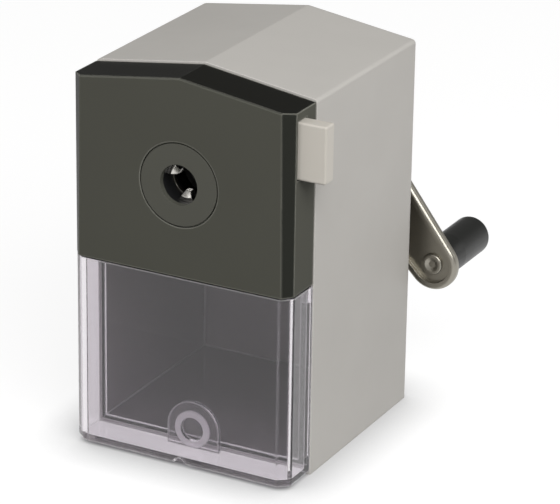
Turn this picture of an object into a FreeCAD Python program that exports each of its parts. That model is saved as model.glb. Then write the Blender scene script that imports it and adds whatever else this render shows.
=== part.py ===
import FreeCAD, Part
import math
import os

V = FreeCAD.Vector

# Desk-top crank pencil sharpener. Millimetres, +Z up, +Y to the rear, +X to the right seen from the
# front. The origin is on the table, under the middle of the housing.

# Housing: one moulding with a gable roof and a floor, open at the front
housing_width = 62.0
housing_depth = 56.5
eave_above_axis = 23.6
ridge_rise = 4.4
housing_wall = 1.8
floor_thickness = 2.6
rear_corner_radius = 3.0
eave_radius = 1.0

# The pencil, the cutter head and the crank share one axis, this far above the drawer's top edge
axis_above_drawer = 24.7

# Fits
running_clearance = 0.05
seat_clearance = 0.02
sliding_gap = 0.3
panel_gap = 0.2

# How far a cut runs past the face it starts from, and how closely two places count as the same
overshoot = 1.0
tolerance = 1e-6

# Hood: the front carriage that is pulled forward to take a pencil
hood_projection = 13.0
hood_gap = 0.5
hood_side_inset = 0.1
hood_roof_drop = 0.45
hood_wall = 1.6
hood_chamfer_depth = 2.7
hood_chamfer_top = 2.8
hood_chamfer_bottom = 2.1
hood_edge_radius = 0.4

# Face disc: the round insert with the pencil hole
disc_radius = 10.65
disc_groove = 0.35
disc_head = 0.9
disc_spigot_wall = 3.55
pencil_hole_radius = 5.25

# Chuck: three jaws in radial slots, opened by a sliding cam plate
chuck_radius = 17.2
chuck_thickness = 5.0
chuck_bore_gap = 0.35
jaw_count = 3
jaw_first_angle = 270.0
jaw_width = 4.0
jaw_thickness = 2.6
jaw_tip_radius = 2.8
jaw_tail_length = 2.2
jaw_tip_width = 1.2
jaw_point_length = 2.4
jaw_notch = 0.35
jaw_notch_count = 3
jaw_lead_depth = 1.2
jaw_lead_width = 1.6
jaw_pin_radius = 1.0
jaw_pin_place = 11.0
jaw_travel = 2.0
jaw_gap = 0.1
lug_angles = (60.0, 120.0, 240.0, 300.0)
lug_offset = 2.4
lug_radius = 2.6
lug_thickness = 1.4
lug_post_height = 2.0
rail_half_length = 4.5
rail_lip = 1.0
rail_width = 1.4
cam_plate_thickness = 1.2
cam_plate_left = 14.0
cam_plate_right = 19.0
cam_plate_half_height = 15.2
cam_slot_gap = 0.25
cam_ear_left = 12.0
cam_ear_low = 9.0
cam_ear_high = 17.0

# Release button: the tab on the right side of the hood, pressed inwards
button_reach = 7.4
button_front_offset = 3.6
button_thickness = 4.25
button_below_eave = 2.85
button_height = 14.8
button_travel = 5.0
button_edge_radius = 0.5
button_slot_gap = 0.25
button_flange_thickness = 1.6
button_flange_drop = 1.9
button_spring_height = 14.6
cam_spring_ear = 3.0
button_spring_radius = 1.9
button_spring_wire = 0.3
button_spring_turns = 6
spring_peg_radius = 1.1
spring_peg_length = 3.0

# Springs: arcs to a turn, and points to a turn where the gaps are measured
coil_steps = 4
coil_samples = 24

# Carriage guides: two rods that slide through bushes, each with a return spring and a clip
carriage_travel = 25.0
rod_radius = 2.5
rod_drop = 16.0
rod_boss_wall = 2.0
rod_boss_length = 4.8
clip_radius = 4.2
clip_thickness = 1.2
clip_from_end = 0.3
clip_slot = 2.6
bush_wall = 1.1
bush_flange = 0.9
bush_flange_thickness = 1.6
carriage_spring_radius = 3.4
carriage_spring_wire = 0.4
carriage_spring_turns = 8
carriage_spring_spare = 7.1

# Mechanism plate: the inner front wall
plate_recess = 2.0
plate_thickness = 2.5
plate_overlap = 0.2
plate_boss_wall = 2.5
plate_boss_length = 1.5
plate_screw_inset = 3.0
plate_screw_up = 16.0
plate_screw_down = 6.0
plate_post_radius = 2.7
plate_post_length = 11.0
plate_post_web = 1.2
screw_radius = 1.25
screw_head_radius = 2.4
screw_head_height = 1.4
screw_slot_width = 0.6
screw_slot_depth = 0.6
screw_end_gap = 1.0

# Cutter head: a cage turned by the crank, with a helical cutter askew to the pencil
cutter_tilt = 10.0
cutter_radius = 6.5
flute_depth = 1.0
cutter_flutes = 10
flute_land_share = 0.18
flute_slope_share = 0.24
flute_root_share = 0.3
cutter_length = 25.0
cutter_twist = 70.0
cutter_steps = 5
cutter_hub_radius = 3.0
cutter_hub_length = 0.6
axle_radius = 1.5
axle_end_cover = 0.7
journal_wall = 1.75
journal_proud = 0.4
carrier_rim = 1.45
carrier_shell = 2.6
carrier_shell_half_angle = 65.0
carrier_front_thickness = 2.4
carrier_rear_thickness = 3.5

# Bevel gears: the pinion on the cutter rolls inside the fixed ring gear
ring_teeth = 36
pinion_teeth = 13
gear_distance = 65.3
pinion_face = 3.0
ring_face_margin = 0.4
pressure_angle = 20.0
addendum_share = 0.8
dedendum_share = 1.1
backlash_share = 0.12
pinion_hub_radius = 2.7
pinion_hub_front = 0.9
ring_wall = 1.4
ring_lug_radius = 2.8
ring_lug_thickness = 3.4
ring_lug_angles = (60.0, 120.0, 240.0, 300.0)

# Crank: shaft, pressed arm, rivet pin and turning knob
shaft_radius = 3.0
rear_bush_radius = 5.0
rear_bush_inside = 6.0
rear_bush_flange_radius = 6.5
rear_bush_flange = 1.4
collar_radius = 5.0
tenon_side = 4.4
crank_length = 52.7
crank_angle = -49.1
arm_gap = 4.1
arm_depth = 2.4
arm_floor = 1.2
arm_rim = 2.0
arm_rim_radius = 1.2
arm_back_radius = 0.3
arm_hub_radius = 10.5
arm_end_radius = 7.1
crank_screw_radius = 1.5
crank_screw_head_radius = 4.4
crank_screw_head = 1.8
crank_screw_length = 8.0
pin_radius = 2.0
pin_head_radius = 2.9
pin_head_height = 1.0
pin_dimple = 0.5
pin_dimple_radius = 1.9
knob_length = 23.4
knob_neck_radius = 4.8
knob_radius = 5.3
knob_edge_radius = 1.5
knob_swell = 7.8
knob_bore_depth = 19.0

# Chip drawer: clear moulding with a wide front and a narrower tray that slides on the floor
drawer_projection = 12.6
drawer_chamfer_depth = 2.4
drawer_chamfer_width = 2.9
drawer_bottom = 0.7
drawer_height = 51.0
drawer_wall = 1.8
tray_wall = 1.6
tray_rear_gap = 3.2
tray_drop = 4.7
drawer_edge_radius = 1.2
drawer_corner_radius = 1.0
arch_radius = 7.4
arch_height = 7.7
arch_front = 4.6
arch_thickness = 1.2
arch_ring_radius = 4.9
arch_ring_bore = 3.3
arch_ring_proud = 0.6
arch_hole_depth = 1.2
notch_radius = 1.7

# Rubber pads let into the floor
pad_radius = 4.5
pad_depth = 1.2
pad_inset = 8.0

# Places worked out from the sizes above. Depths are counted rearwards from the housing's front edge.
half_width = housing_width / 2
front_y = -housing_depth / 2
drawer_top = drawer_bottom + drawer_height
axis_height = drawer_top + axis_above_drawer
eave_height = axis_height + eave_above_axis
ridge_height = eave_height + ridge_rise
roof_slope = ridge_rise / half_width
roof_secant = math.hypot(1.0, roof_slope)
inner_half_width = half_width - housing_wall
plate_rear = plate_recess + plate_thickness
plate_bottom = drawer_top - plate_overlap
plate_boss_rear = plate_rear + plate_boss_length
plate_screw_spread = inner_half_width - plate_screw_inset

hood_half_width = half_width - hood_side_inset
hood_inner_half_width = hood_half_width - hood_wall
hood_bottom = drawer_top + hood_gap
hood_front = -hood_projection
hood_inner_face = hood_front + hood_wall
disc_spigot_radius = pencil_hole_radius + disc_spigot_wall
chuck_bore_radius = pencil_hole_radius + chuck_bore_gap
chuck_rear = hood_inner_face + chuck_thickness
cam_front = chuck_rear + panel_gap
cam_rear = cam_front + cam_plate_thickness
cam_middle = (cam_front + cam_rear) / 2
jaw_rear = chuck_rear - panel_gap
jaw_front = jaw_rear - jaw_thickness
jaw_tail_radius = jaw_pin_place + jaw_tail_length
jaw_angles = [jaw_first_angle + 360.0 * index / jaw_count for index in range(jaw_count)]
lug_place = chuck_radius + lug_offset
lug_front = hood_inner_face + lug_post_height
lug_rear = lug_front + lug_thickness

button_top = eave_height - button_below_eave
button_bottom = button_top - button_height
button_front = hood_front + button_front_offset
button_rear = button_front + button_thickness
button_flange_front = hood_inner_face + hood_chamfer_depth + sliding_gap
button_flange_rear = cam_rear + sliding_gap
button_flange_outside = hood_inner_half_width - sliding_gap
button_flange_inside = button_flange_outside - button_flange_thickness
button_spring_z = axis_height + button_spring_height

bush_radius = rod_radius + bush_wall
bush_flange_radius = bush_radius + bush_flange
bush_rear = plate_rear + bush_flange_thickness
rod_spread = inner_half_width - sliding_gap - bush_flange_radius
rod_height = axis_height - rod_drop
carriage_spring_solid = 2.0 * carriage_spring_wire * carriage_spring_turns
clip_front = bush_rear + carriage_travel + carriage_spring_solid + carriage_spring_spare
clip_rear = clip_front + clip_thickness
rod_rear = clip_rear + clip_from_end

journal_bore_radius = pencil_hole_radius
journal_radius = journal_bore_radius + journal_wall
journal_front = plate_recess - journal_proud
carrier_front = plate_boss_rear + sliding_gap
carrier_front_rear = carrier_front + carrier_front_thickness

arm_front = housing_depth + arm_gap
arm_back = arm_front + arm_depth
arm_floor_front = arm_back - arm_floor
collar_front = housing_depth + rear_bush_flange + sliding_gap
knob_front = arm_back + sliding_gap
knob_x = crank_length * math.cos(math.radians(crank_angle))
knob_z = axis_height + crank_length * math.sin(math.radians(crank_angle))

drawer_front = -drawer_projection
tray_half_width = inner_half_width - sliding_gap
tray_bottom = floor_thickness + sliding_gap
tray_top = drawer_top - tray_drop
tray_rear = housing_depth - housing_wall - tray_rear_gap

# Bevel gears: the angles of the two pitch cones, the pinion's ends along its axle, counted from the
# cones' common apex, and the place of that apex
tilt = math.radians(cutter_tilt)
pinion_cone = math.atan(math.sin(tilt) / (ring_teeth / pinion_teeth - math.cos(tilt)))
ring_cone = pinion_cone + tilt
pinion_far = gear_distance + pinion_face / 2
pinion_near = gear_distance - pinion_face / 2
pinion_start = -pinion_far * math.cos(pinion_cone)
pinion_end = -pinion_near * math.cos(pinion_cone)
hub_start = pinion_start - pinion_hub_front
cutter_start = pinion_end + cutter_hub_length
cutter_end = cutter_start + cutter_length
cutter_hub_end = cutter_end + cutter_hub_length
cutter_apex = (
    carrier_front_rear
    + sliding_gap
    + pinion_hub_radius * math.sin(tilt)
    - hub_start * math.cos(tilt)
)
carrier_rear = (
    cutter_apex + cutter_hub_end * math.cos(tilt) + cutter_radius * math.sin(tilt) + sliding_gap
)
carrier_end = carrier_rear + carrier_rear_thickness
carrier_radius = (cutter_apex - carrier_front) * math.tan(tilt) + axle_radius + carrier_rim
axle_start = (carrier_front + axle_end_cover - cutter_apex) / math.cos(tilt)
axle_end = (carrier_end - axle_end_cover - cutter_apex) / math.cos(tilt)

ring_far = pinion_far + ring_face_margin
ring_near = pinion_near - ring_face_margin
ring_front = cutter_apex - ring_far * math.cos(ring_cone)
ring_rear = cutter_apex - ring_near * math.cos(ring_cone)
ring_root_radius = ring_far * math.sin(ring_cone) * (1.0 + 2.0 * dedendum_share / ring_teeth)
ring_radius = ring_root_radius + ring_wall
ring_lug_place = ring_radius + screw_head_radius + sliding_gap
ring_lug_rear = plate_rear + ring_lug_thickness


# Small helpers
def at(x, depth, z):
    return V(x, front_y + depth, z)


def box(x0, x1, depth0, depth1, z0, z1):
    low_x, high_x = sorted((x0, x1))
    low_z, high_z = sorted((z0, z1))
    return Part.makeBox(high_x - low_x, depth1 - depth0, high_z - low_z, at(low_x, depth0, low_z))


def rod(radius, depth0, depth1, x=0.0, z=axis_height):
    return Part.makeCylinder(radius, depth1 - depth0, at(x, depth0, z), V(0, 1, 0))


def closed_wire(points):
    return Part.makePolygon(points + points[:1])


def prism_along_y(outline, depth0, depth1):
    wire = closed_wire([at(x, depth0, z) for x, z in outline])
    return Part.Face(wire).extrude(V(0, depth1 - depth0, 0))


def prism_along_z(outline, z0, z1):
    wire = closed_wire([at(x, depth, z0) for x, depth in outline])
    return Part.Face(wire).extrude(V(0, 0, z1 - z0))


def union(first, others):
    return first.fuse(list(others)).removeSplitter()


def edges_where(shape, test):
    return [edge for edge in shape.Edges if test(edge)]


def runs_along(edge, direction):
    if not isinstance(edge.Curve, Part.Line):
        return False
    return abs(abs(edge.Curve.Direction.dot(direction)) - 1.0) < tolerance


def first_depth(edge):
    return min(vertex.Y for vertex in edge.Vertexes) - front_y


def last_depth(edge):
    return max(vertex.Y for vertex in edge.Vertexes) - front_y


def polar(radius, degrees):
    angle = math.radians(degrees)
    return radius * math.cos(angle), radius * math.sin(angle)


# Places at one radius round the main axis
def places_round(radius, angles):
    return [(polar(radius, a)[0], axis_height + polar(radius, a)[1]) for a in angles]


# A shape drawn along +X from the main axis, turned to another direction
def turned(shape, angle):
    shape = shape.copy()
    shape.rotate(at(0, 0, axis_height), V(0, 1, 0), -angle)
    return shape


# The housing's gable outline, drawn in by one distance on every side
def gable(inset, bottom, drop=0.0, side_inset=0.0):
    half = half_width - side_inset - inset
    ridge = ridge_height - inset * roof_secant - drop
    eave = ridge - roof_slope * half
    return [(-half, bottom), (half, bottom), (half, eave), (0.0, ridge), (-half, eave)]


# A coil spring along +Y, as one tube on pairs of tangent arcs
def arc_by_corner(start, corner, end):
    middle = (start + end) * 0.5
    reach = (start - corner).Length
    drop = (middle - corner).Length
    radius = reach * (start - middle).Length / drop
    inward = (middle - corner) * (1.0 / drop)
    crown = corner + inward * (math.hypot(radius, reach) - radius)
    return Part.Arc(start, crown, end).toShape()


def biarc(start, start_way, end, end_way):
    span = end - start
    a = 2.0 * (start_way.dot(end_way) - 1.0)
    b = -2.0 * span.dot(start_way + end_way)
    c = span.dot(span)
    reach = (-b - math.sqrt(b * b - 4.0 * a * c)) / (2.0 * a)
    first = start + start_way * reach
    second = end - end_way * reach
    joint = (first + second) * 0.5
    return [arc_by_corner(start, first, joint), arc_by_corner(joint, second, end)]


def coil(name, radius, wire_radius, length, turns):
    pitch = (length - 2.0 * wire_radius) / turns
    rise = pitch / (2.0 * math.pi * radius)

    def point(turn):
        angle = 2.0 * math.pi * turn
        return V(radius * math.cos(angle), wire_radius + pitch * turn, radius * math.sin(angle))

    def way(turn):
        angle = 2.0 * math.pi * turn
        return V(-math.sin(angle), rise, math.cos(angle)).normalize()

    edges = []
    for step in range(turns * coil_steps):
        start = step / coil_steps
        end = (step + 1) / coil_steps
        edges += biarc(point(start), way(start), point(end), way(end))
    section = Part.Wire(Part.Circle(point(0), way(0), wire_radius).toShape())
    tube = Part.Wire(edges).makePipeShell([section], True, False)
    half_turn = coil_samples // 2
    track = [point(index / coil_samples) for index in range(turns * coil_samples)]
    apart = min((q - p).Length for i, p in enumerate(track) for q in track[i + half_turn:])
    print(name, "least gap to itself", round(apart - 2.0 * wire_radius, 2))
    return tube


# A slotted screw: its head faces rearward (facing 1) or forward (facing -1) from its seat
def screw(x, z, seat, length, facing):
    tip = seat - facing * length
    top = seat + facing * screw_head_height
    slot_floor = top - facing * screw_slot_depth
    shank = rod(screw_radius, min(seat, tip), max(seat, tip), x, z)
    head = rod(screw_head_radius, min(seat, top), max(seat, top), x, z)
    half = screw_slot_width / 2
    slot = box(
        x - screw_head_radius, x + screw_head_radius,
        min(top, slot_floor), max(top, slot_floor),
        z - half, z + half,
    )
    return union(head, [shank]).cut(slot)


def screw_hole(x, z, start, end):
    return rod(screw_radius + seat_clearance, start, end, x, z)


# Housing and what is fixed to it
def pad_places():
    inset_x = half_width - pad_inset
    inset_y = housing_depth / 2 - pad_inset
    return [(sx * inset_x, sy * inset_y) for sx in (-1, 1) for sy in (-1, 1)]


def plate_screw_places():
    heights = (axis_height + plate_screw_up, axis_height - plate_screw_down)
    return [(side * plate_screw_spread, z) for side in (-1, 1) for z in heights]


def make_plate_post(x, z):
    end = plate_rear + plate_post_length
    wall = math.copysign(half_width - housing_wall / 2, x)
    web = box(x, wall, plate_rear, end, z - plate_post_web, z + plate_post_web)
    return union(rod(plate_post_radius, plate_rear, end, x, z), [web])


def make_housing():
    shell = prism_along_y(gable(0.0, 0.0), 0.0, housing_depth)
    roof_edges = edges_where(
        shell, lambda e: runs_along(e, V(0, 1, 0)) and e.CenterOfMass.z > eave_height - tolerance
    )
    shell = shell.makeFillet(eave_radius, roof_edges)
    back_edges = edges_where(
        shell, lambda e: first_depth(e) > housing_depth - tolerance and e.BoundBox.ZMax > tolerance
    )
    shell = shell.makeFillet(rear_corner_radius, back_edges)
    inside = prism_along_y(gable(housing_wall, floor_thickness), -overshoot, housing_depth - housing_wall)
    shell = shell.cut(inside)
    shell = union(shell, [make_plate_post(x, z) for x, z in plate_screw_places()])
    for x, z in plate_screw_places():
        shell = shell.cut(screw_hole(x, z, plate_rear, plate_rear + plate_post_length))
    hole_start = housing_depth - rear_bush_inside
    shell = shell.cut(rod(rear_bush_radius + seat_clearance, hole_start, housing_depth + overshoot))
    for x, y in pad_places():
        shell = shell.cut(Part.makeCylinder(pad_radius + seat_clearance, pad_depth, V(x, y, 0)))
    return shell


def make_pads():
    return [Part.makeCylinder(pad_radius, pad_depth, V(x, y, 0)) for x, y in pad_places()]


def make_rear_bush():
    start = housing_depth - rear_bush_inside
    end = housing_depth + rear_bush_flange
    body = rod(rear_bush_radius, start, housing_depth)
    flange = rod(rear_bush_flange_radius, housing_depth, end)
    return union(body, [flange]).cut(rod(shaft_radius + running_clearance, start, end))


# Mechanism plate, its bushes and screws
def make_plate():
    plate = prism_along_y(gable(housing_wall + panel_gap, plate_bottom), plate_recess, plate_rear)
    plate = union(plate, [rod(journal_radius + plate_boss_wall, plate_rear, plate_boss_rear)])
    plate = plate.cut(rod(journal_radius + running_clearance, plate_recess, plate_boss_rear))
    for side in (-1, 1):
        hole = rod(bush_radius + seat_clearance, plate_recess, plate_rear, side * rod_spread, rod_height)
        plate = plate.cut(hole)
    for x, z in plate_screw_places() + places_round(ring_lug_place, ring_lug_angles):
        plate = plate.cut(screw_hole(x, z, plate_recess, plate_rear))
    return plate


def make_plate_screws():
    length = plate_thickness + plate_post_length - screw_end_gap
    return [screw(x, z, plate_recess, length, -1) for x, z in plate_screw_places()]


def make_guide_bush(x):
    body = rod(bush_radius, plate_recess, plate_rear, x, rod_height)
    flange = rod(bush_flange_radius, plate_rear, bush_rear, x, rod_height)
    bore = rod(rod_radius + running_clearance, plate_recess, bush_rear, x, rod_height)
    return union(body, [flange]).cut(bore)


# Bevel gears: one involute outline, with a tooth pointing up
def gear_outline(pitch_radius, teeth, root, tip, tooth_thickness):
    base = pitch_radius * math.cos(math.radians(pressure_angle))

    def involute(radius):
        angle = math.acos(min(1.0, base / radius))
        return math.tan(angle) - angle

    def half_angle(radius):
        return tooth_thickness / (2.0 * pitch_radius) + involute(pitch_radius) - involute(radius)

    radii = (root, pitch_radius, tip)
    points = []
    for tooth in range(teeth):
        centre = math.pi / 2 + 2.0 * math.pi * tooth / teeth
        rising = [(radius, centre - half_angle(radius)) for radius in radii]
        falling = [(radius, centre + half_angle(radius)) for radius in reversed(radii)]
        points += [(r * math.cos(a), r * math.sin(a)) for r, a in rising + falling]
    return points


def pinion_wire(distance):
    pitch_radius = distance * math.sin(pinion_cone)
    module = 2.0 * pitch_radius / pinion_teeth
    root = pitch_radius - dedendum_share * module
    tip = pitch_radius + addendum_share * module
    thickness = (math.pi / 2 - backlash_share) * module
    outline = gear_outline(pitch_radius, pinion_teeth, root, tip, thickness)
    return closed_wire([V(x, -distance * math.cos(pinion_cone), z) for x, z in outline])


# The spaces between the ring's inward teeth have the outline of an outward gear
def ring_space_wire(distance):
    pitch_radius = distance * math.sin(ring_cone)
    module = 2.0 * pitch_radius / ring_teeth
    root = pitch_radius - addendum_share * module
    tip = pitch_radius + dedendum_share * module
    thickness = (math.pi / 2 + backlash_share) * module
    outline = gear_outline(pitch_radius, ring_teeth, root, tip, thickness)
    depth = cutter_apex - distance * math.cos(ring_cone)
    return closed_wire([at(x, depth, axis_height + z) for x, z in outline])


def make_ring_gear():
    places = places_round(ring_lug_place, ring_lug_angles)
    ring = rod(ring_radius, plate_rear, ring_rear)
    lugs = [rod(ring_lug_radius, plate_rear, ring_lug_rear, x, z) for x, z in places]
    web = box(
        ring_root_radius, ring_lug_place,
        plate_rear, ring_lug_rear,
        axis_height - ring_lug_radius, axis_height + ring_lug_radius,
    )
    webs = [turned(web, angle) for angle in ring_lug_angles]
    ring = union(ring, lugs + webs)
    ring = ring.cut(rod(ring_root_radius, plate_rear - overshoot, ring_front))
    ring = ring.cut(Part.makeLoft([ring_space_wire(ring_far), ring_space_wire(ring_near)], True, True))
    for x, z in places:
        ring = ring.cut(screw_hole(x, z, plate_rear - overshoot, ring_lug_rear + overshoot))
    return ring


def make_gear_screws():
    length = ring_lug_thickness + plate_thickness
    places = places_round(ring_lug_place, ring_lug_angles)
    return [screw(x, z, ring_lug_rear, length, 1) for x, z in places]


# Cutter head. The cutter's own frame has its axle along Y and the gears' apex at the origin.
def tilt_into_place(shape):
    shape = shape.copy()
    shape.rotate(V(0, 0, 0), V(1, 0, 0), -cutter_tilt)
    shape.translate(at(0, cutter_apex, axis_height))
    return shape


def along_axle(radius, start, end):
    return Part.makeCylinder(radius, end - start, V(0, start, 0), V(0, 1, 0))


def make_pinion():
    gear = Part.makeLoft([pinion_wire(pinion_far), pinion_wire(pinion_near)], True, True)
    gear = union(gear, [along_axle(pinion_hub_radius, hub_start, cutter_start)])
    gear = gear.cut(along_axle(axle_radius + running_clearance, hub_start, cutter_start))
    return tilt_into_place(gear)


def cutter_section(place, turn):
    step = 360.0 / cutter_flutes
    root_radius = cutter_radius - flute_depth
    points = []
    for flute in range(cutter_flutes):
        edge = turn + flute * step
        land_end = edge + flute_land_share * step
        root_start = land_end + flute_slope_share * step
        root_end = root_start + flute_root_share * step
        points += [polar(cutter_radius, edge), polar(cutter_radius, land_end)]
        points += [polar(root_radius, root_start), polar(root_radius, root_end)]
    return closed_wire([V(x, place, z) for x, z in points])


def make_cutter():
    shares = [step / cutter_steps for step in range(cutter_steps + 1)]
    sections = [cutter_section(cutter_start + t * cutter_length, t * cutter_twist) for t in shares]
    body = Part.makeLoft(sections, True, True)
    body = union(body, [along_axle(cutter_hub_radius, cutter_end, cutter_hub_end)])
    body = body.cut(along_axle(axle_radius + running_clearance, cutter_start, cutter_hub_end))
    return tilt_into_place(body)


def make_axle():
    return tilt_into_place(along_axle(axle_radius, axle_start, axle_end))


def make_carrier():
    shell = rod(carrier_radius, carrier_front_rear, carrier_rear)
    shell = shell.cut(rod(carrier_radius - carrier_shell, carrier_front_rear, carrier_rear))
    reach = 2.0 * carrier_radius
    side_x, side_z = polar(reach, 270.0 + carrier_shell_half_angle)
    corners = [(0.0, 0.0), (-side_x, side_z), (-side_x, -reach), (side_x, -reach), (side_x, side_z)]
    sector = prism_along_y([(x, axis_height + z) for x, z in corners], carrier_front_rear, carrier_rear)
    front_disc = rod(carrier_radius, carrier_front, carrier_front_rear)
    rear_disc = rod(carrier_radius, carrier_rear, carrier_end)
    journal = rod(journal_radius, journal_front, carrier_front)
    cage = union(journal, [front_disc, rear_disc, shell.common(sector)])
    cage = cage.cut(rod(journal_bore_radius, journal_front, carrier_front_rear))
    cage = cage.cut(rod(shaft_radius + seat_clearance, carrier_rear, carrier_end))
    return cage.cut(tilt_into_place(along_axle(axle_radius + seat_clearance, axle_start, axle_end)))


# Crank
def make_shaft():
    body = rod(shaft_radius, carrier_rear, collar_front)
    collar = rod(collar_radius, collar_front, arm_floor_front)
    half = tenon_side / 2
    tenon = box(-half, half, arm_floor_front, arm_back, axis_height - half, axis_height + half)
    shaft = union(body, [collar, turned(tenon, crank_angle)])
    return shaft.cut(rod(crank_screw_radius + seat_clearance, arm_back - crank_screw_length, arm_back))


# The arm's outline lying along +X: two arcs joined by the lines that touch both
def arm_outline(inset, depth):
    hub_radius = arm_hub_radius - inset
    end_radius = arm_end_radius - inset
    upper = math.acos((hub_radius - end_radius) / crank_length)

    def point(centre, radius, angle):
        return at(centre + radius * math.cos(angle), depth, axis_height + radius * math.sin(angle))

    hub_top = point(0.0, hub_radius, upper)
    hub_low = point(0.0, hub_radius, -upper)
    end_top = point(crank_length, end_radius, upper)
    end_low = point(crank_length, end_radius, -upper)
    edges = [
        Part.Arc(hub_top, point(0.0, hub_radius, math.pi), hub_low).toShape(),
        Part.makeLine(hub_low, end_low),
        Part.Arc(end_low, point(crank_length, end_radius, 0.0), end_top).toShape(),
        Part.makeLine(end_top, hub_top),
    ]
    return Part.Wire(edges)


# The arm: a shallow pan with a rounded rim
def make_arm():
    arm = Part.Face(arm_outline(0.0, arm_front)).extrude(V(0, arm_depth, 0))
    front_edges = edges_where(arm, lambda e: last_depth(e) < arm_front + tolerance)
    arm = arm.makeFillet(arm_rim_radius, front_edges)
    back_edges = edges_where(arm, lambda e: first_depth(e) > arm_back - tolerance)
    arm = arm.makeFillet(arm_back_radius, back_edges)
    pan = Part.Face(arm_outline(arm_rim, arm_front)).extrude(V(0, arm_depth - arm_floor, 0))
    arm = arm.cut(pan)
    half = tenon_side / 2 + seat_clearance
    start = arm_floor_front - overshoot
    end = arm_back + overshoot
    arm = arm.cut(box(-half, half, start, end, axis_height - half, axis_height + half))
    arm = arm.cut(rod(pin_radius + seat_clearance, start, end, crank_length))
    return turned(arm, crank_angle)


def make_crank_screw():
    top = arm_back + crank_screw_head
    slot_floor = top - crank_screw_head / 2
    head = rod(crank_screw_head_radius, arm_back, top)
    rim = edges_where(head, lambda e: first_depth(e) > top - tolerance)
    head = head.makeFillet(crank_screw_head / 2, rim)
    shank = rod(crank_screw_radius, arm_back - crank_screw_length + screw_end_gap, arm_back)
    body = union(head, [shank])
    half = screw_slot_width / 2
    reach = crank_screw_head_radius / 2
    for dx, dz in ((reach, half), (half, reach)):
        body = body.cut(box(-dx, dx, slot_floor, top, axis_height - dz, axis_height + dz))
    return body


def make_knob_pin():
    head_front = arm_floor_front - pin_head_height
    head = rod(pin_head_radius, head_front, arm_floor_front, knob_x, knob_z)
    rim = edges_where(head, lambda e: last_depth(e) < head_front + tolerance)
    head = head.makeFillet(pin_head_height / 2, rim)
    centre = at(knob_x, head_front, knob_z)
    head = head.cut(Part.makeCone(pin_dimple_radius, pin_dimple_radius / 2, pin_dimple, centre, V(0, 1, 0)))
    end = knob_front + knob_bore_depth - sliding_gap
    return union(head, [rod(pin_radius, arm_floor_front, end, knob_x, knob_z)])


def make_knob():
    end = knob_front + knob_length
    swell = knob_front + knob_swell
    shoulder = end - knob_edge_radius
    corner = knob_edge_radius * (1.0 - math.sqrt(0.5))

    def on_profile(radius, depth):
        return at(knob_x + radius, depth, knob_z)

    edges = [
        Part.makeLine(on_profile(0.0, knob_front), on_profile(knob_neck_radius, knob_front)),
        Part.makeLine(on_profile(knob_neck_radius, knob_front), on_profile(knob_radius, swell)),
        Part.makeLine(on_profile(knob_radius, swell), on_profile(knob_radius, shoulder)),
        Part.Arc(
            on_profile(knob_radius, shoulder),
            on_profile(knob_radius - corner, end - corner),
            on_profile(knob_radius - knob_edge_radius, end),
        ).toShape(),
        Part.makeLine(on_profile(knob_radius - knob_edge_radius, end), on_profile(0.0, end)),
        Part.makeLine(on_profile(0.0, end), on_profile(0.0, knob_front)),
    ]
    knob = Part.Face(Part.Wire(edges)).revolve(at(knob_x, 0, knob_z), V(0, 1, 0), 360)
    bore_end = knob_front + knob_bore_depth
    return knob.cut(rod(pin_radius + running_clearance, knob_front, bore_end, knob_x, knob_z))


# Hood: the outer form, or the inner one drawn in by the wall
def hood_form(inset, rear):
    front = hood_front + inset
    bottom = hood_bottom + inset
    half = hood_half_width - inset
    form = prism_along_y(gable(inset, bottom, hood_roof_drop, hood_side_inset), front, rear)
    for side in (-1, 1):
        ends = []
        for z, width in ((bottom, hood_chamfer_bottom), (ridge_height, hood_chamfer_top)):
            corners = [(half - width, 0), (half, 1), (half + width, 0), (half, -1)]
            ends.append(closed_wire([at(side * x, front + k * hood_chamfer_depth, z) for x, k in corners]))
        form = form.cut(Part.makeLoft(ends, True, True))
    return form


def make_hood():
    hood = hood_form(0.0, -hood_gap)
    front_edges = edges_where(
        hood,
        lambda e: last_depth(e) < hood_front + tolerance and e.BoundBox.ZMax > hood_bottom + tolerance,
    )
    hood = hood.makeFillet(hood_edge_radius, front_edges)
    hood = hood.cut(hood_form(hood_wall, 0.0))
    root = hood_inner_face - hood_wall / 4
    boss_end = hood_inner_face + rod_boss_length
    boss_places = [(side * rod_spread, rod_height) for side in (-1, 1)]
    post_places = places_round(lug_place, lug_angles)
    bosses = [rod(rod_radius + rod_boss_wall, root, boss_end, x, z) for x, z in boss_places]
    posts = [rod(lug_radius, root, lug_front, x, z) for x, z in post_places]
    peg_start = at(-hood_inner_half_width - hood_wall / 4, cam_middle, button_spring_z)
    peg = Part.makeCylinder(spring_peg_radius, spring_peg_length, peg_start, V(1, 0, 0))
    hood = union(hood, bosses + posts + [peg])
    for x, z in boss_places:
        hood = hood.cut(rod(rod_radius + seat_clearance, hood_inner_face, boss_end, x, z))
    for x, z in post_places:
        hood = hood.cut(screw_hole(x, z, hood_inner_face, lug_front))
    hood = hood.cut(rod(disc_radius + disc_groove, hood_front, hood_front + disc_head))
    hood = hood.cut(rod(disc_spigot_radius + seat_clearance, hood_front, hood_inner_face))
    slot = box(
        button_flange_inside, hood_half_width + overshoot,
        button_front - button_slot_gap, button_rear + button_slot_gap,
        button_bottom - button_slot_gap, button_top + button_slot_gap,
    )
    return hood.cut(slot)


def make_face_disc():
    head = rod(disc_radius, hood_front, hood_front + disc_head)
    spigot = rod(disc_spigot_radius, hood_front + disc_head, hood_inner_face)
    return union(head, [spigot]).cut(rod(pencil_hole_radius, hood_front, hood_inner_face))


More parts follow.
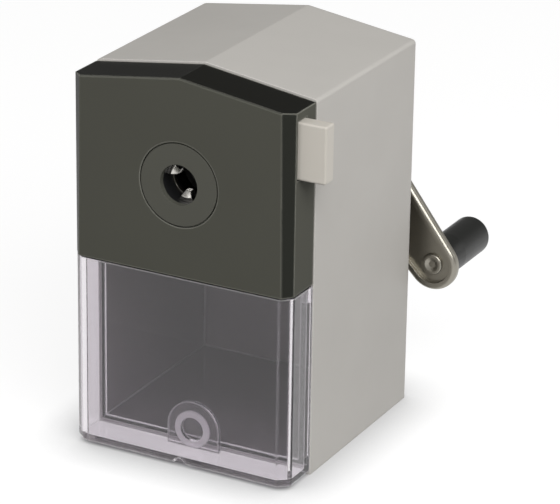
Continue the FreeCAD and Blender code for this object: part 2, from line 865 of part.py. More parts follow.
# Chuck: body with jaw slots, fixing lugs and rails for the cam plate
def make_chuck():
    body = rod(chuck_radius, hood_inner_face, chuck_rear)
    places = places_round(lug_place, lug_angles)
    lugs = [rod(lug_radius, lug_front, lug_rear, x, z) for x, z in places]
    web = box(
        chuck_radius - lug_radius, lug_place,
        lug_front, lug_rear,
        axis_height - lug_radius, axis_height + lug_radius,
    )
    webs = [turned(web, angle) for angle in lug_angles]
    channel = cam_plate_half_height + panel_gap
    lip_front = cam_rear + panel_gap
    lip_rear = lip_front + rail_lip
    rails = []
    for side in (-1, 1):
        edge = axis_height + side * channel
        outside = edge + side * rail_width
        inside = edge - side * rail_lip
        rails.append(box(-rail_half_length, rail_half_length, chuck_rear, lip_rear, edge, outside))
        rails.append(box(-rail_half_length, rail_half_length, lip_front, lip_rear, inside, edge))
    body = union(body, lugs + webs + rails)
    body = body.cut(rod(chuck_bore_radius, hood_inner_face, chuck_rear))
    half = jaw_width / 2 + jaw_gap
    slot_end = jaw_tail_radius + jaw_travel + jaw_gap
    slot_front = jaw_front - panel_gap
    slot = box(0.0, slot_end, slot_front, chuck_rear, axis_height - half, axis_height + half)
    for angle in jaw_angles:
        body = body.cut(turned(slot, angle))
    for x, z in places:
        body = body.cut(rod(lug_radius + panel_gap, hood_inner_face, lug_front, x, z))
        body = body.cut(screw_hole(x, z, lug_front, lug_rear))
    return body


def make_chuck_screws():
    length = lug_thickness + lug_post_height
    return [screw(x, z, lug_rear, length, 1) for x, z in places_round(lug_place, lug_angles)]


def make_jaw(angle):
    half = jaw_width / 2
    tip_half = jaw_tip_width / 2
    shoulder = jaw_tip_radius + jaw_point_length
    upper = [(jaw_tail_radius, half), (shoulder, half), (jaw_tip_radius, tip_half)]
    lower = [(x, -z) for x, z in reversed(upper)]
    jaw = prism_along_y([(x, axis_height + z) for x, z in upper + lower], jaw_front, jaw_rear)
    pitch = jaw_thickness / (jaw_notch_count + 1)
    for index in range(jaw_notch_count):
        depth = jaw_front + (index + 1) * pitch
        mouth = jaw_tip_radius - jaw_notch
        notch = [(mouth, depth - jaw_notch), (jaw_tip_radius + jaw_notch, depth), (mouth, depth + jaw_notch)]
        jaw = jaw.cut(prism_along_z(notch, axis_height - half, axis_height + half))
    lead_place = at(0.0, jaw_front, axis_height)
    lead_radius = jaw_tip_radius + jaw_lead_width
    jaw = jaw.cut(Part.makeCone(lead_radius, jaw_tip_radius, jaw_lead_depth, lead_place, V(0, 1, 0)))
    jaw = union(jaw, [rod(jaw_pin_radius, jaw_rear, cam_rear, jaw_pin_place)])
    return turned(jaw, angle)


# Cam plate: each slot leads its jaw's pin outwards as the plate moves to the left
def cam_slot(start, end, radius):
    way = (end - start).normalize()
    across = V(-way.z, 0, way.x) * radius
    corners = [start + across, end + across, end - across, start - across]
    middle = prism_along_y([(p.x, axis_height + p.z) for p in corners], cam_front, cam_rear)
    return union(middle, [rod(radius, cam_front, cam_rear, p.x, axis_height + p.z) for p in (start, end)])


def make_cam_plate():
    low = axis_height - cam_plate_half_height
    high = axis_height + cam_plate_half_height
    ear_low = axis_height + cam_ear_low
    ear_high = axis_height + cam_ear_high
    left = -cam_plate_left
    plate = box(left, cam_plate_right, cam_front, cam_rear, low, high)
    right_ear = box(cam_ear_left, button_flange_inside, cam_front, cam_rear, ear_low, ear_high)
    left_ear = box(left, left + cam_spring_ear, cam_front, cam_rear, ear_low, ear_high)
    peg = box(
        left - spring_peg_length, left,
        cam_front, cam_rear,
        button_spring_z - spring_peg_radius, button_spring_z + spring_peg_radius,
    )
    plate = union(plate, [right_ear, left_ear, peg])
    plate = plate.cut(cam_slot(V(0, 0, 0), V(button_travel, 0, 0), pencil_hole_radius))
    for angle in jaw_angles:
        x, up = polar(jaw_pin_place, angle)
        end_x, end_up = polar(jaw_pin_place + jaw_travel, angle)
        start = V(x, 0, up)
        end = V(end_x + button_travel, 0, end_up)
        plate = plate.cut(cam_slot(start, end, jaw_pin_radius + cam_slot_gap))
    return plate


def make_button():
    outside = half_width + button_reach
    tab = box(button_flange_inside, outside, button_front, button_rear, button_bottom, button_top)
    outer_edges = edges_where(tab, lambda e: e.BoundBox.XMax > outside - tolerance)
    tab = tab.makeFillet(button_edge_radius, outer_edges)
    flange = box(
        button_flange_inside, button_flange_outside,
        button_flange_front, button_flange_rear,
        button_bottom - button_flange_drop, button_top - button_flange_drop,
    )
    return union(tab, [flange])


def make_button_spring():
    start = -hood_inner_half_width + panel_gap
    length = -cam_plate_left - panel_gap - start
    spring = coil("button spring", button_spring_radius, button_spring_wire, length, button_spring_turns)
    spring.rotate(V(0, 0, 0), V(0, 0, 1), -90)
    spring.translate(at(start, cam_middle, button_spring_z))
    return spring


# Carriage guides
def make_guide_rod(x):
    return rod(rod_radius, hood_inner_face, rod_rear, x, rod_height)


def make_rod_clip(x):
    clip = rod(clip_radius, clip_front, clip_rear, x, rod_height)
    clip = clip.cut(rod(rod_radius + seat_clearance, clip_front, clip_rear, x, rod_height))
    half = clip_slot / 2
    return clip.cut(box(x - half, x + half, clip_front, clip_rear, rod_height - clip_radius, rod_height))


def make_carriage_spring(name, x):
    start = bush_rear + panel_gap
    length = clip_front - panel_gap - start
    spring = coil(name, carriage_spring_radius, carriage_spring_wire, length, carriage_spring_turns)
    spring.translate(at(x, start, rod_height))
    return spring


# Drawer
def drawer_plan(inset, rear):
    half = half_width - inset
    face_half = half_width - drawer_chamfer_width - inset / 2
    front = drawer_front + inset
    side_front = drawer_front + drawer_chamfer_depth + inset / 2
    right = [(face_half, front), (half, side_front), (half, rear)]
    return right + [(-x, depth) for x, depth in reversed(right)]


# The tongue with an arched top that stands on the drawer's floor, with a ring round its hollow
def make_arch():
    front = -arch_front
    rear = front + arch_thickness
    foot = box(-arch_radius, arch_radius, front, rear, drawer_bottom, arch_height)
    crown = rod(arch_radius, front, rear, 0.0, arch_height)
    ring = rod(arch_ring_radius, front - arch_ring_proud, front, 0.0, arch_height)
    arch = union(foot, [crown, ring])
    return arch.common(box(-arch_radius, arch_radius, drawer_front, rear, drawer_bottom, drawer_top))


def make_drawer():
    rear = -hood_gap
    block = prism_along_z(drawer_plan(0.0, rear), drawer_bottom, drawer_top)
    corners = edges_where(block, lambda e: runs_along(e, V(0, 0, 1)) and last_depth(e) < rear - tolerance)
    block = block.makeFillet(drawer_corner_radius, corners)
    low_edges = edges_where(
        block, lambda e: e.BoundBox.ZMax < drawer_bottom + tolerance and first_depth(e) < rear - tolerance
    )
    block = block.makeFillet(drawer_edge_radius, low_edges)
    tray = box(-tray_half_width, tray_half_width, rear, tray_rear, tray_bottom, tray_top)
    hollow_rear = rear - tray_wall
    front_hollow = prism_along_z(
        drawer_plan(drawer_wall, hollow_rear), drawer_bottom + drawer_wall, drawer_top + overshoot
    )
    inner_half = tray_half_width - tray_wall
    tray_hollow = box(
        -inner_half, inner_half,
        hollow_rear - overshoot, tray_rear - tray_wall,
        tray_bottom + tray_wall, drawer_top + overshoot,
    )
    drawer = union(block, [tray]).cut(front_hollow).cut(tray_hollow)
    drawer = union(drawer, [make_arch()])
    hole_front = -arch_front - arch_ring_proud
    drawer = drawer.cut(rod(arch_ring_bore, hole_front, hole_front + arch_hole_depth, 0.0, arch_height))
    notch = rod(notch_radius, drawer_front - overshoot, drawer_front + drawer_wall, 0.0, drawer_bottom)
    return drawer.cut(notch)


# Every sub-part by its name
nodes = {
    "housing_shell": [make_housing()],
    "base_pads": make_pads(),
    "rear_bush": [make_rear_bush()],
    "mechanism_plate": [make_plate()],
    "plate_screws": make_plate_screws(),
    "guide_bushes": [make_guide_bush(-rod_spread), make_guide_bush(rod_spread)],
    "ring_gear": [make_ring_gear()],
    "gear_screws": make_gear_screws(),
    "hood_cover": [make_hood()],
    "face_disc": [make_face_disc()],
    "chuck_body": [make_chuck()],
    "chuck_screws": make_chuck_screws(),
    "cam_plate": [make_cam_plate()],
    "release_button": [make_button()],
    "button_spring": [make_button_spring()],
    "guide_rods": [make_guide_rod(-rod_spread), make_guide_rod(rod_spread)],
    "rod_clips": [make_rod_clip(-rod_spread), make_rod_clip(rod_spread)],
    "carriage_spring_left": [make_carriage_spring("left carriage spring", -rod_spread)],
    "carriage_spring_right": [make_carriage_spring("right carriage spring", rod_spread)],
    "cutter_carrier": [make_carrier()],
    "cutter_axle": [make_axle()],
    "helical_cutter": [make_cutter()],
    "cutter_pinion": [make_pinion()],
    "crank_shaft": [make_shaft()],
    "crank_arm": [make_arm()],
    "crank_screw": [make_crank_screw()],
    "knob_pin": [make_knob_pin()],
    "crank_knob": [make_knob()],
    "chip_drawer": [make_drawer()],
}
for index, angle in enumerate(jaw_angles):
    nodes["jaw_" + str(index + 1)] = [make_jaw(angle)]

os.makedirs("parts", exist_ok=True)
for name, solids in nodes.items():
    shape = solids[0] if len(solids) == 1 else Part.makeCompound(solids)
    print(name, "solids", len(shape.Solids), "valid", shape.isValid(), "volume", round(shape.Volume, 1))
    shape.exportStep("parts/" + name + ".step")
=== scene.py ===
import bpy
import math
from mathutils import Matrix, Vector


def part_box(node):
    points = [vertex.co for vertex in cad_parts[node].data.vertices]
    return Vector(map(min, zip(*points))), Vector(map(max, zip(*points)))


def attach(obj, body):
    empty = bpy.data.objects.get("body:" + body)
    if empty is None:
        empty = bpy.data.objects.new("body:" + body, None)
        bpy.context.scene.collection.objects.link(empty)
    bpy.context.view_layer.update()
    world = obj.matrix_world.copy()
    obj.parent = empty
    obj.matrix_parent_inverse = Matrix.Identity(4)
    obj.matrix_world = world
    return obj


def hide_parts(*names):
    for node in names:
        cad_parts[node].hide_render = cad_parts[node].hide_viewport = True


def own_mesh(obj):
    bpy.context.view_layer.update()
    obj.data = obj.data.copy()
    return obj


# Looks of the crank pencil sharpener: finishes, floor, light and camera. Metres.

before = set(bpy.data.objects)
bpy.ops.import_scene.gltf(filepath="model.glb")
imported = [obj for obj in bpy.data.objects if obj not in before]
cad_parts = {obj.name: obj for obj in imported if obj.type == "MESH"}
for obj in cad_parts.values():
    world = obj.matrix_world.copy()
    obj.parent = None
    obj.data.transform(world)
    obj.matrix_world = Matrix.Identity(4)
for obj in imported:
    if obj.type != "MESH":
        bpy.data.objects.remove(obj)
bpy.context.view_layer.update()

# The photograph's frame and the camera that was fitted to it
IMAGE_WIDTH = 560
SENSOR_WIDTH = 36.0
FOCAL_PIXELS = 3137.9
CENTRE_RIGHT_PIXELS = 9.985
CENTRE_UP_PIXELS = 4.653
CAMERA_PLACE = Vector((0.35633, -0.66371, 0.34729))
CAMERA_AZIMUTH = math.radians(27.595)
CAMERA_ELEVATION = math.radians(21.802)
CAMERA_ROLL = math.radians(0.984)
CAMERA_NEAR = 0.01
CAMERA_FAR = 50.0

# Colours as they look, in sRGB from 0 to 255
LIGHT_GREY = (187, 184, 179)
BUTTON_GREY = (198, 193, 184)
DARK_GREY = (80, 80, 73)
# Painted shade: the hood's chamfers and roof are painted these darker greys
CHAMFER_SHADE_GREY = (42, 43, 39)
ROOF_SHADE_GREY = (24, 24, 21)
# Painted highlight: the hood's edges are painted this lighter grey
HOOD_HIGHLIGHT_GREY = (128, 128, 120)
KNOB_BLACK = (23, 24, 22)
INNER_BLACK = (26, 26, 27)
ACETAL_WHITE = (214, 210, 200)
NICKEL = (158, 154, 144)
STEEL = (222, 219, 213)
TOOL_STEEL = (138, 138, 140)
CAST_METAL = (160, 160, 160)
RUBBER_BLACK = (30, 30, 30)
CLEAR_TINT = (235, 231, 235)
CLEAR_SHADOW = (172, 170, 178)
# The white of the drawer's frosted ring and of the painted highlight on its edges
FROST_AND_HIGHLIGHT_WHITE = (240, 236, 238)
FLOOR_WHITE = (252, 252, 252)
FLOOR_GREY = (118, 117, 116)
STUDIO_WHITE = (250, 249, 247)

# How the floor shows white to the eye, how far round the part's foot a contact shadow is painted into
# its glow, and the light that comes from all round
FLOOR_HALF_SIZE = 6.0
FLOOR_DRIFT = 0.985
FLOOR_ROUGHNESS = 0.9
FLOOR_GLOW = 1.12
FLOOR_GLOW_SHARE = 0.78
CONTACT_SHADOW = 0.016
STUDIO_LIGHT = 0.26
LAMP_TARGET = Vector((0.0, 0.0, 0.05))

# The drawer's clear plastic: the frosted ring on its boss, and how strongly its edges are painted
# white and less clear, as a painted highlight
RING_HEIGHT = 0.0077
RING_MIDDLE = 0.0041
RING_WIDTH = 0.0016
RING_FACE = -0.0333
RING_DEPTH = 0.0006
CLEAR_EDGE_HIGHLIGHT = 0.85
CLEAR_EDGE_HIGHLIGHT_WIDTH = 0.0008
FROST_ROUGHNESS = 0.4
FROST_AND_HIGHLIGHT_CLEARNESS = 0.45
CLEAR_IOR = 1.49

# How far colour and gloss drift over each kind of surface, as a share or as a change
MOULDED_DRIFT = (0.94, 1.06)
HOOD_DRIFT = (0.93, 1.05)
CLEAR_DRIFT = (0.97, 1.0)
TARNISH = (0.86, 1.04)
MOULDED_GLOSS_DRIFT = 0.05
CLEAR_ROUGHNESS = (0.02, 0.06)
HOOD_ROUGHNESS = (0.34, 0.5)
STEEL_GLOSS_DRIFT = (-0.08, 0.1)

# The hood: how squarely a face looks to the front or side before it is grained, how far one looks up
# before it is darkest as painted shade, the hood's edges painted lighter as a painted highlight, and
# its faint sheen
HOOD_GRAINED = (0.86, 0.96)
HOOD_UPWARD = (0.5, 0.9)
HOOD_EDGE_WIDTH = 0.0006
HOOD_EDGE_FULL = 0.94
HOOD_EDGE_ROUND = 0.0003
HOOD_IOR = 1.11

# Where an edge starts and where it is full, as the cosine of the surface's turn
EDGE_START = 0.99
EDGE_FULL = 0.8

# The springs' wires, and how finely a coil is drawn
CARRIAGE_SPRING_WIRE = 0.0004
CARRIAGE_SPRING_TURNS = 8
BUTTON_SPRING_WIRE = 0.0003
BUTTON_SPRING_TURNS = 6
COIL_STEPS = 32
COIL_RINGS = 12
ALONG_X = 0
ALONG_Y = 1


# A colour as light, by the usual sRGB curve
def linear(colour):
    def channel(value):
        share = value / 255.0
        if share <= 0.04045:
            return share / 12.92
        return ((share + 0.055) / 1.055) ** 2.4

    return tuple(channel(value) for value in colour) + (1.0,)


# A short way to build node materials
class Nodes:
    def __init__(self, name):
        self.material = bpy.data.materials.new(name)
        self.material.use_nodes = True
        self.tree = self.material.node_tree
        self.shader = self.tree.nodes["Principled BSDF"]
        self.output = self.tree.nodes["Material Output"]

    def add(self, kind, **inputs):
        node = self.tree.nodes.new(kind)
        for key, value in inputs.items():
            node.inputs[key.replace("_", " ")].default_value = value
        return node

    def link(self, source, target):
        self.tree.links.new(source, target)

    def set(self, name, value):
        self.shader.inputs[name].default_value = value

    # Object coordinates are metres in the part's own frame
    def place(self):
        return self.add("ShaderNodeTexCoord").outputs["Object"]

    def noise(self, scale, detail):
        node = self.add("ShaderNodeTexNoise", Scale=scale, Detail=detail)
        self.link(self.place(), node.inputs["Vector"])
        return node.outputs["Fac"]

    # From 0 where the value is at start to 1 where it is at end
    def ramp(self, value, start, end):
        node = self.add("ShaderNodeMapRange", From_Min=start, From_Max=end)
        self.link(value, node.inputs["Value"])
        return node.outputs["Result"]

    # From low where the value is 0 to high where it is 1
    def spread(self, value, low, high):
        node = self.add("ShaderNodeMapRange", To_Min=low, To_Max=high)
        self.link(value, node.inputs["Value"])
        return node.outputs["Result"]

    def mix(self, share, first, second):
        node = self.tree.nodes.new("ShaderNodeMix")
        node.data_type = "RGBA"
        colours = [s for s in node.inputs if s.type == "RGBA"]
        for socket, value in zip(colours, (first, second)):
            if isinstance(value, tuple):
                socket.default_value = value
            else:
                self.link(value, socket)
        self.link(share, node.inputs[0])
        return [s for s in node.outputs if s.type == "RGBA"][0]

    def calc(self, operation, *values):
        node = self.tree.nodes.new("ShaderNodeMath")
        node.operation = operation
        for socket, value in zip(node.inputs, values):
            if isinstance(value, float):
                socket.default_value = value
            else:
                self.link(value, socket)
        return node.outputs[0]

    # From 0 on a flat face to 1 along an edge
    def edge(self, radius, full=EDGE_FULL):
        bevel = self.add("ShaderNodeBevel", Radius=radius)
        face = self.add("ShaderNodeNewGeometry")
        across = self.tree.nodes.new("ShaderNodeVectorMath")
        across.operation = "DOT_PRODUCT"
        self.link(bevel.outputs["Normal"], across.inputs[0])
        self.link(face.outputs["Normal"], across.inputs[1])
        return self.ramp(across.outputs["Value"], EDGE_START, full)

    # The material's own shader where the share is 0, another where it is 1
    def blend(self, share, other):
        node = self.tree.nodes.new("ShaderNodeMixShader")
        self.link(share, node.inputs[0])
        self.link(self.shader.outputs[0], node.inputs[1])
        self.link(other.outputs[0], node.inputs[2])
        self.link(node.outputs[0], self.output.inputs["Surface"])

    # Fine relief, with edges that look slightly rounded
    def relief(self, height, strength, distance, edge):
        bump = self.add("ShaderNodeBump", Strength=strength, Distance=distance)
        self.link(height, bump.inputs["Height"])
        bevel = self.add("ShaderNodeBevel", Radius=edge)
        self.link(bevel.outputs["Normal"], bump.inputs["Normal"])
        self.link(bump.outputs["Normal"], self.shader.inputs["Normal"])


# A lighter or darker shade of a colour
def shade(colour, factor):
    return tuple(min(1.0, channel * factor) for channel in colour[:3]) + (1.0,)


# The two ends of a colour that drifts
def ends(colour, drift):
    return [shade(colour, factor) for factor in drift]


# Moulded plastic: a fine spark-eroded grain, soft colour drift, uneven gloss and edges painted lighter
# as a painted highlight
def moulded(name, colour, roughness, specular, grain=2600.0, depth=0.00004, edge=0.00025, edge_highlight=1.15):
    nodes = Nodes(name)
    base = linear(colour)
    face = nodes.mix(nodes.noise(scale=38.0, detail=3.0), *ends(base, MOULDED_DRIFT))
    # Painted highlight: edges are painted lighter than the face
    nodes.link(nodes.mix(nodes.edge(edge), face, shade(base, edge_highlight)), nodes.shader.inputs["Base Color"])
    marks = nodes.noise(scale=210.0, detail=4.0)
    gloss = nodes.spread(marks, roughness - MOULDED_GLOSS_DRIFT, roughness + MOULDED_GLOSS_DRIFT)
    nodes.link(gloss, nodes.shader.inputs["Roughness"])
    nodes.set("Specular IOR Level", specular)
    nodes.relief(nodes.noise(scale=grain, detail=2.0), strength=0.18, distance=depth, edge=edge)
    return nodes


# The hood's plastic: grained on its flat front and sides, glossy on its roof and chamfers, which are
# painted darker the more they face up, as painted shade
def hood_plastic(name):
    nodes = Nodes(name)
    facing = nodes.add("ShaderNodeSeparateXYZ")
    nodes.link(nodes.add("ShaderNodeTexCoord").outputs["Normal"], facing.inputs["Vector"])
    across = nodes.calc("ABSOLUTE", facing.outputs["X"])
    along = nodes.calc("ABSOLUTE", facing.outputs["Y"])
    grained = nodes.ramp(nodes.calc("MAXIMUM", across, along), *HOOD_GRAINED)
    face = nodes.mix(nodes.noise(scale=30.0, detail=3.0), *ends(linear(DARK_GREY), HOOD_DRIFT))
    # Painted shade: faces that are not grained are painted darker the more they face up
    upward = nodes.ramp(facing.outputs["Z"], *HOOD_UPWARD)
    painted_roof_shade = nodes.mix(upward, linear(CHAMFER_SHADE_GREY), linear(ROOF_SHADE_GREY))
    flats = nodes.mix(grained, painted_roof_shade, face)
    # Painted highlight: the hood's edges are painted a lighter grey
    edge_highlight = nodes.mix(nodes.edge(HOOD_EDGE_WIDTH, HOOD_EDGE_FULL), flats, linear(HOOD_HIGHLIGHT_GREY))
    nodes.link(edge_highlight, nodes.shader.inputs["Base Color"])
    nodes.link(nodes.spread(grained, *HOOD_ROUGHNESS), nodes.shader.inputs["Roughness"])
    nodes.set("IOR", HOOD_IOR)
    grain = nodes.noise(scale=2800.0, detail=2.0)
    nodes.relief(grain, strength=0.15, distance=0.00004, edge=HOOD_EDGE_ROUND)
    return nodes


# Clear smoky plastic: faint flow marks, edges painted white as a painted highlight, and a frosted ring
# on its boss.
# Its shadow lets some of the light through.
def clear_plastic(name):
    nodes = Nodes(name)
    place = nodes.add("ShaderNodeSeparateXYZ")
    nodes.link(nodes.place(), place.inputs["Vector"])
    sideways = nodes.calc("POWER", place.outputs["X"], 2.0)
    upwards = nodes.calc("POWER", nodes.calc("SUBTRACT", place.outputs["Z"], RING_HEIGHT), 2.0)
    radius = nodes.calc("SQRT", nodes.calc("ADD", sideways, upwards))
    in_ring = nodes.calc("COMPARE", radius, RING_MIDDLE, RING_WIDTH / 2.0)
    in_front = nodes.calc("COMPARE", place.outputs["Y"], RING_FACE, RING_DEPTH)
    ring = nodes.calc("MULTIPLY", in_ring, in_front)
    # Painted highlight: the edges are painted white and made less clear
    edges = nodes.calc("MULTIPLY", nodes.edge(CLEAR_EDGE_HIGHLIGHT_WIDTH), CLEAR_EDGE_HIGHLIGHT)
    frost_and_highlight = nodes.calc("MAXIMUM", ring, edges)
    body = nodes.mix(nodes.noise(scale=24.0, detail=2.0), *ends(linear(CLEAR_TINT), CLEAR_DRIFT))
    nodes.link(nodes.mix(frost_and_highlight, body, linear(FROST_AND_HIGHLIGHT_WHITE)), nodes.shader.inputs["Base Color"])
    gloss = nodes.spread(nodes.noise(scale=160.0, detail=3.0), *CLEAR_ROUGHNESS)
    dull = nodes.calc("ADD", gloss, nodes.calc("MULTIPLY", frost_and_highlight, FROST_ROUGHNESS))
    nodes.link(dull, nodes.shader.inputs["Roughness"])
    nodes.link(nodes.spread(frost_and_highlight, 1.0, FROST_AND_HIGHLIGHT_CLEARNESS), nodes.shader.inputs["Transmission Weight"])
    nodes.set("IOR", CLEAR_IOR)
    flow = nodes.noise(scale=60.0, detail=2.0)
    nodes.relief(flow, strength=0.04, distance=0.0002, edge=0.0002)
    shadow = nodes.add("ShaderNodeBsdfTransparent", Color=linear(CLEAR_SHADOW))
    nodes.blend(nodes.add("ShaderNodeLightPath").outputs["Is Shadow Ray"], shadow)
    return nodes


# Plated, ground or cast metal: fine marks, drawn out along one axis where they are stretched
def steel(name, colour, roughness, stretch=(1.0, 1.0, 1.0), grain=900.0):
    nodes = Nodes(name)
    mapping = nodes.add("ShaderNodeMapping")
    mapping.inputs["Scale"].default_value = stretch
    nodes.link(nodes.place(), mapping.inputs["Vector"])
    lines = nodes.add("ShaderNodeTexNoise", Scale=grain, Detail=5.0)
    nodes.link(mapping.outputs["Vector"], lines.inputs["Vector"])
    tarnished = nodes.mix(nodes.noise(scale=90.0, detail=4.0), *ends(linear(colour), TARNISH))
    nodes.link(tarnished, nodes.shader.inputs["Base Color"])
    gloss = nodes.spread(lines.outputs["Fac"], *(roughness + change for change in STEEL_GLOSS_DRIFT))
    nodes.link(gloss, nodes.shader.inputs["Roughness"])
    nodes.set("Metallic", 1.0)
    nodes.relief(lines.outputs["Fac"], strength=0.08, distance=0.00003, edge=0.0002)
    return nodes


# One finish for a whole piece
def finish_node(node, material):
    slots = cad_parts[node].data.materials
    slots.clear()
    slots.append(material)


# The housing's and the button's edges get a stronger painted highlight
housing_plastic = moulded("housing_plastic", LIGHT_GREY, 0.46, 0.35, edge=0.0005, edge_highlight=1.6).material
button_plastic = moulded("button_plastic", BUTTON_GREY, 0.4, 0.4, grain=1900.0, edge_highlight=1.25).material
hood_finish = hood_plastic("hood_plastic").material
disc_finish = moulded("disc_plastic", DARK_GREY, 0.48, 0.16, grain=2400.0).material
drawer_finish = clear_plastic("clear_plastic").material
knob_finish = moulded("knob_plastic", KNOB_BLACK, 0.36, 0.45, grain=1500.0).material
inner_plastic = moulded("inner_plastic", INNER_BLACK, 0.5, 0.35).material
acetal = moulded("acetal", ACETAL_WHITE, 0.42, 0.4).material
nickel_plate = steel("nickel_plate", NICKEL, 0.34, grain=1600.0).material
bright_steel = steel("bright_steel", STEEL, 0.2, stretch=(1.0, 0.1, 1.0)).material
ground_steel = steel("ground_steel", TOOL_STEEL, 0.3, stretch=(1.0, 0.2, 1.0), grain=700.0).material
cast_metal = steel("cast_metal", CAST_METAL, 0.48, grain=420.0).material
rubber = moulded("rubber", RUBBER_BLACK, 0.78, 0.25, grain=900.0, depth=0.0001).material

finishes = {
    housing_plastic: ["housing_shell"],
    button_plastic: ["release_button"],
    hood_finish: ["hood_cover"],
    disc_finish: ["face_disc"],
    drawer_finish: ["chip_drawer"],
    knob_finish: ["crank_knob"],
    inner_plastic: ["mechanism_plate", "chuck_body"],
    acetal: ["guide_bushes", "rear_bush", "ring_gear"],
    nickel_plate: [
        "crank_arm", "knob_pin", "crank_screw", "plate_screws", "gear_screws", "chuck_screws",
        "cam_plate", "rod_clips",
    ],
    bright_steel: [
        "jaw_1", "jaw_2", "jaw_3", "guide_rods", "crank_shaft", "cutter_axle", "button_spring",
        "carriage_spring_left", "carriage_spring_right",
    ],
    ground_steel: ["helical_cutter", "cutter_pinion"],
    cast_metal: ["cutter_carrier"],
    rubber: ["base_pads"],
}
for material, names in finishes.items():
    for name in names:
        finish_node(name, material)


# A wire coil round an axis, from one end to the other, as a tube
def make_coil(name, start, end, radius, wire_radius, turns):
    axis = (Vector(end) - Vector(start)).normalized()
    side = axis.orthogonal().normalized()
    other = axis.cross(side)
    length = (Vector(end) - Vector(start)).length
    pitch = (length - 2.0 * wire_radius) / turns
    count = turns * COIL_STEPS
    vertices = []
    for step in range(count + 1):
        angle = 2.0 * math.pi * step / COIL_STEPS
        along = wire_radius + pitch * step / COIL_STEPS
        outward = side * math.cos(angle) + other * math.sin(angle)
        point = Vector(start) + axis * along + outward * radius
        for ring in range(COIL_RINGS):
            turn = 2.0 * math.pi * ring / COIL_RINGS
            vertices.append(point + (outward * math.cos(turn) + axis * math.sin(turn)) * wire_radius)
    faces = []
    for step in range(count):
        for ring in range(COIL_RINGS):
            after = (ring + 1) % COIL_RINGS
            near = step * COIL_RINGS
            far = near + COIL_RINGS
            faces.append((near + ring, near + after, far + after, far + ring))
    faces.append(tuple(reversed(range(COIL_RINGS))))
    faces.append(tuple(count * COIL_RINGS + ring for ring in range(COIL_RINGS)))
    mesh = bpy.data.meshes.new(name)
    mesh.from_pydata(vertices, [], faces)
    mesh.shade_smooth()
    mesh.materials.append(bright_steel)
    coil = bpy.data.objects.new(name, mesh)
    bpy.context.scene.collection.objects.link(coil)
    return coil


# Each spring is drawn as a coil in place of its piece and rides with the body that presses it
def fit_spring(node, body, along, wire_radius, turns):
    low, high = (Vector(corner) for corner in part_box(node))
    middle = (low + high) / 2.0
    across = (along + 2) % 3
    radius = (high[across] - low[across]) / 2.0 - wire_radius
    start = middle.copy()
    start[along] = low[along]
    end = middle.copy()
    end[along] = high[along]
    coil = make_coil(node + "_coil", start, end, radius, wire_radius, turns)
    axis = Vector((0.0, 0.0, 0.0))
    axis[along] = 1.0
    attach(coil, body)
    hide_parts(node)
    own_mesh(coil)


for side in ("left", "right"):
    fit_spring("carriage_spring_" + side, "carriage", ALONG_Y,
               CARRIAGE_SPRING_WIRE, CARRIAGE_SPRING_TURNS)
fit_spring("button_spring", "release", ALONG_X,
           BUTTON_SPRING_WIRE, BUTTON_SPRING_TURNS)


# Floor: pale, white to the eye, and it keeps the object's shadow; round the part's foot a contact
# shadow is also painted into its glow
def make_floor():
    half = FLOOR_HALF_SIZE
    mesh = bpy.data.meshes.new("floor")
    corners = [(-half, -half, 0.0), (half, -half, 0.0), (half, half, 0.0), (-half, half, 0.0)]
    mesh.from_pydata(corners, [], [(0, 1, 2, 3)])
    floor = bpy.data.objects.new("floor", mesh)
    bpy.context.scene.collection.objects.link(floor)
    nodes = Nodes("floor")
    nodes.set("Roughness", FLOOR_ROUGHNESS)
    nodes.set("Specular IOR Level", 0.0)
    white = linear(FLOOR_WHITE)
    path = nodes.add("ShaderNodeLightPath")
    seen = nodes.calc("MAXIMUM", path.outputs["Is Camera Ray"], path.outputs["Is Transmission Ray"])
    seen = nodes.calc("MAXIMUM", seen, path.outputs["Is Glossy Ray"])
    glow = nodes.add("ShaderNodeEmission", Strength=FLOOR_GLOW)
    # Painted shadow: seen directly, the floor's glow darkens round the part's foot by ambient
    # occlusion
    painted_contact_shadow = nodes.add("ShaderNodeAmbientOcclusion", Color=white, Distance=CONTACT_SHADOW)
    glow_colour = nodes.mix(path.outputs["Is Camera Ray"], white, painted_contact_shadow.outputs["Color"])
    nodes.link(glow_colour, glow.inputs["Color"])
    drift = nodes.mix(nodes.noise(scale=3.0, detail=2.0), shade(white, FLOOR_DRIFT), white)
    nodes.link(nodes.mix(seen, linear(FLOOR_GREY), drift), nodes.shader.inputs["Base Color"])
    nodes.blend(nodes.calc("MULTIPLY", seen, FLOOR_GLOW_SHARE), glow)
    mesh.materials.append(nodes.material)


make_floor()


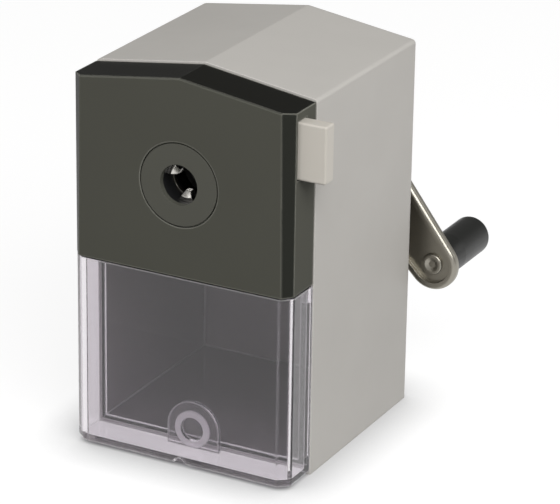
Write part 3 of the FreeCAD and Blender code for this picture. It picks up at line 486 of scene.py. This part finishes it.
# Soft studio light: square lamps that all face the same place in the part
def make_lamp(name, place, side, power):
    data = bpy.data.lights.new(name, "AREA")
    data.shape = "SQUARE"
    data.size = side
    data.energy = power
    lamp = bpy.data.objects.new(name, data)
    lamp.location = place
    lamp.rotation_euler = (LAMP_TARGET - Vector(place)).to_track_quat("-Z", "Y").to_euler()
    bpy.context.scene.collection.objects.link(lamp)


make_lamp("key", place=(0.54, -0.44, 0.62), side=0.6, power=7.6)
make_lamp("left_fill", place=(-0.7, -0.75, 0.4), side=0.8, power=3.6)
make_lamp("right_fill", place=(0.85, 0.7, 0.42), side=0.6, power=1.3)
make_lamp("top", place=(0.5, 0.1, 1.0), side=0.8, power=0.5)

world = bpy.data.worlds.new("studio")
world.use_nodes = True
background = world.node_tree.nodes["Background"]
background.inputs["Color"].default_value = linear(STUDIO_WHITE)
background.inputs["Strength"].default_value = STUDIO_LIGHT
bpy.context.scene.world = world
bpy.context.scene.view_settings.view_transform = "Standard"


# The camera stands where the photograph was taken from
def make_camera():
    data = bpy.data.cameras.new("camera")
    data.sensor_fit = "HORIZONTAL"
    data.sensor_width = SENSOR_WIDTH
    data.lens = FOCAL_PIXELS * SENSOR_WIDTH / IMAGE_WIDTH
    data.shift_x = -CENTRE_RIGHT_PIXELS / IMAGE_WIDTH
    data.shift_y = -CENTRE_UP_PIXELS / IMAGE_WIDTH
    data.clip_start = CAMERA_NEAR
    data.clip_end = CAMERA_FAR
    back = Vector((
        math.sin(CAMERA_AZIMUTH) * math.cos(CAMERA_ELEVATION),
        -math.cos(CAMERA_AZIMUTH) * math.cos(CAMERA_ELEVATION),
        math.sin(CAMERA_ELEVATION),
    ))
    right = Vector((math.cos(CAMERA_AZIMUTH), math.sin(CAMERA_AZIMUTH), 0.0))
    up = back.cross(right)
    rolled_right = right * math.cos(CAMERA_ROLL) + up * math.sin(CAMERA_ROLL)
    rolled_up = up * math.cos(CAMERA_ROLL) - right * math.sin(CAMERA_ROLL)
    turn = Matrix((rolled_right, rolled_up, back)).transposed()
    camera = bpy.data.objects.new("camera", data)
    camera.matrix_world = Matrix.Translation(CAMERA_PLACE) @ turn.to_4x4()
    bpy.context.scene.collection.objects.link(camera)
    bpy.context.scene.camera = camera


make_camera()
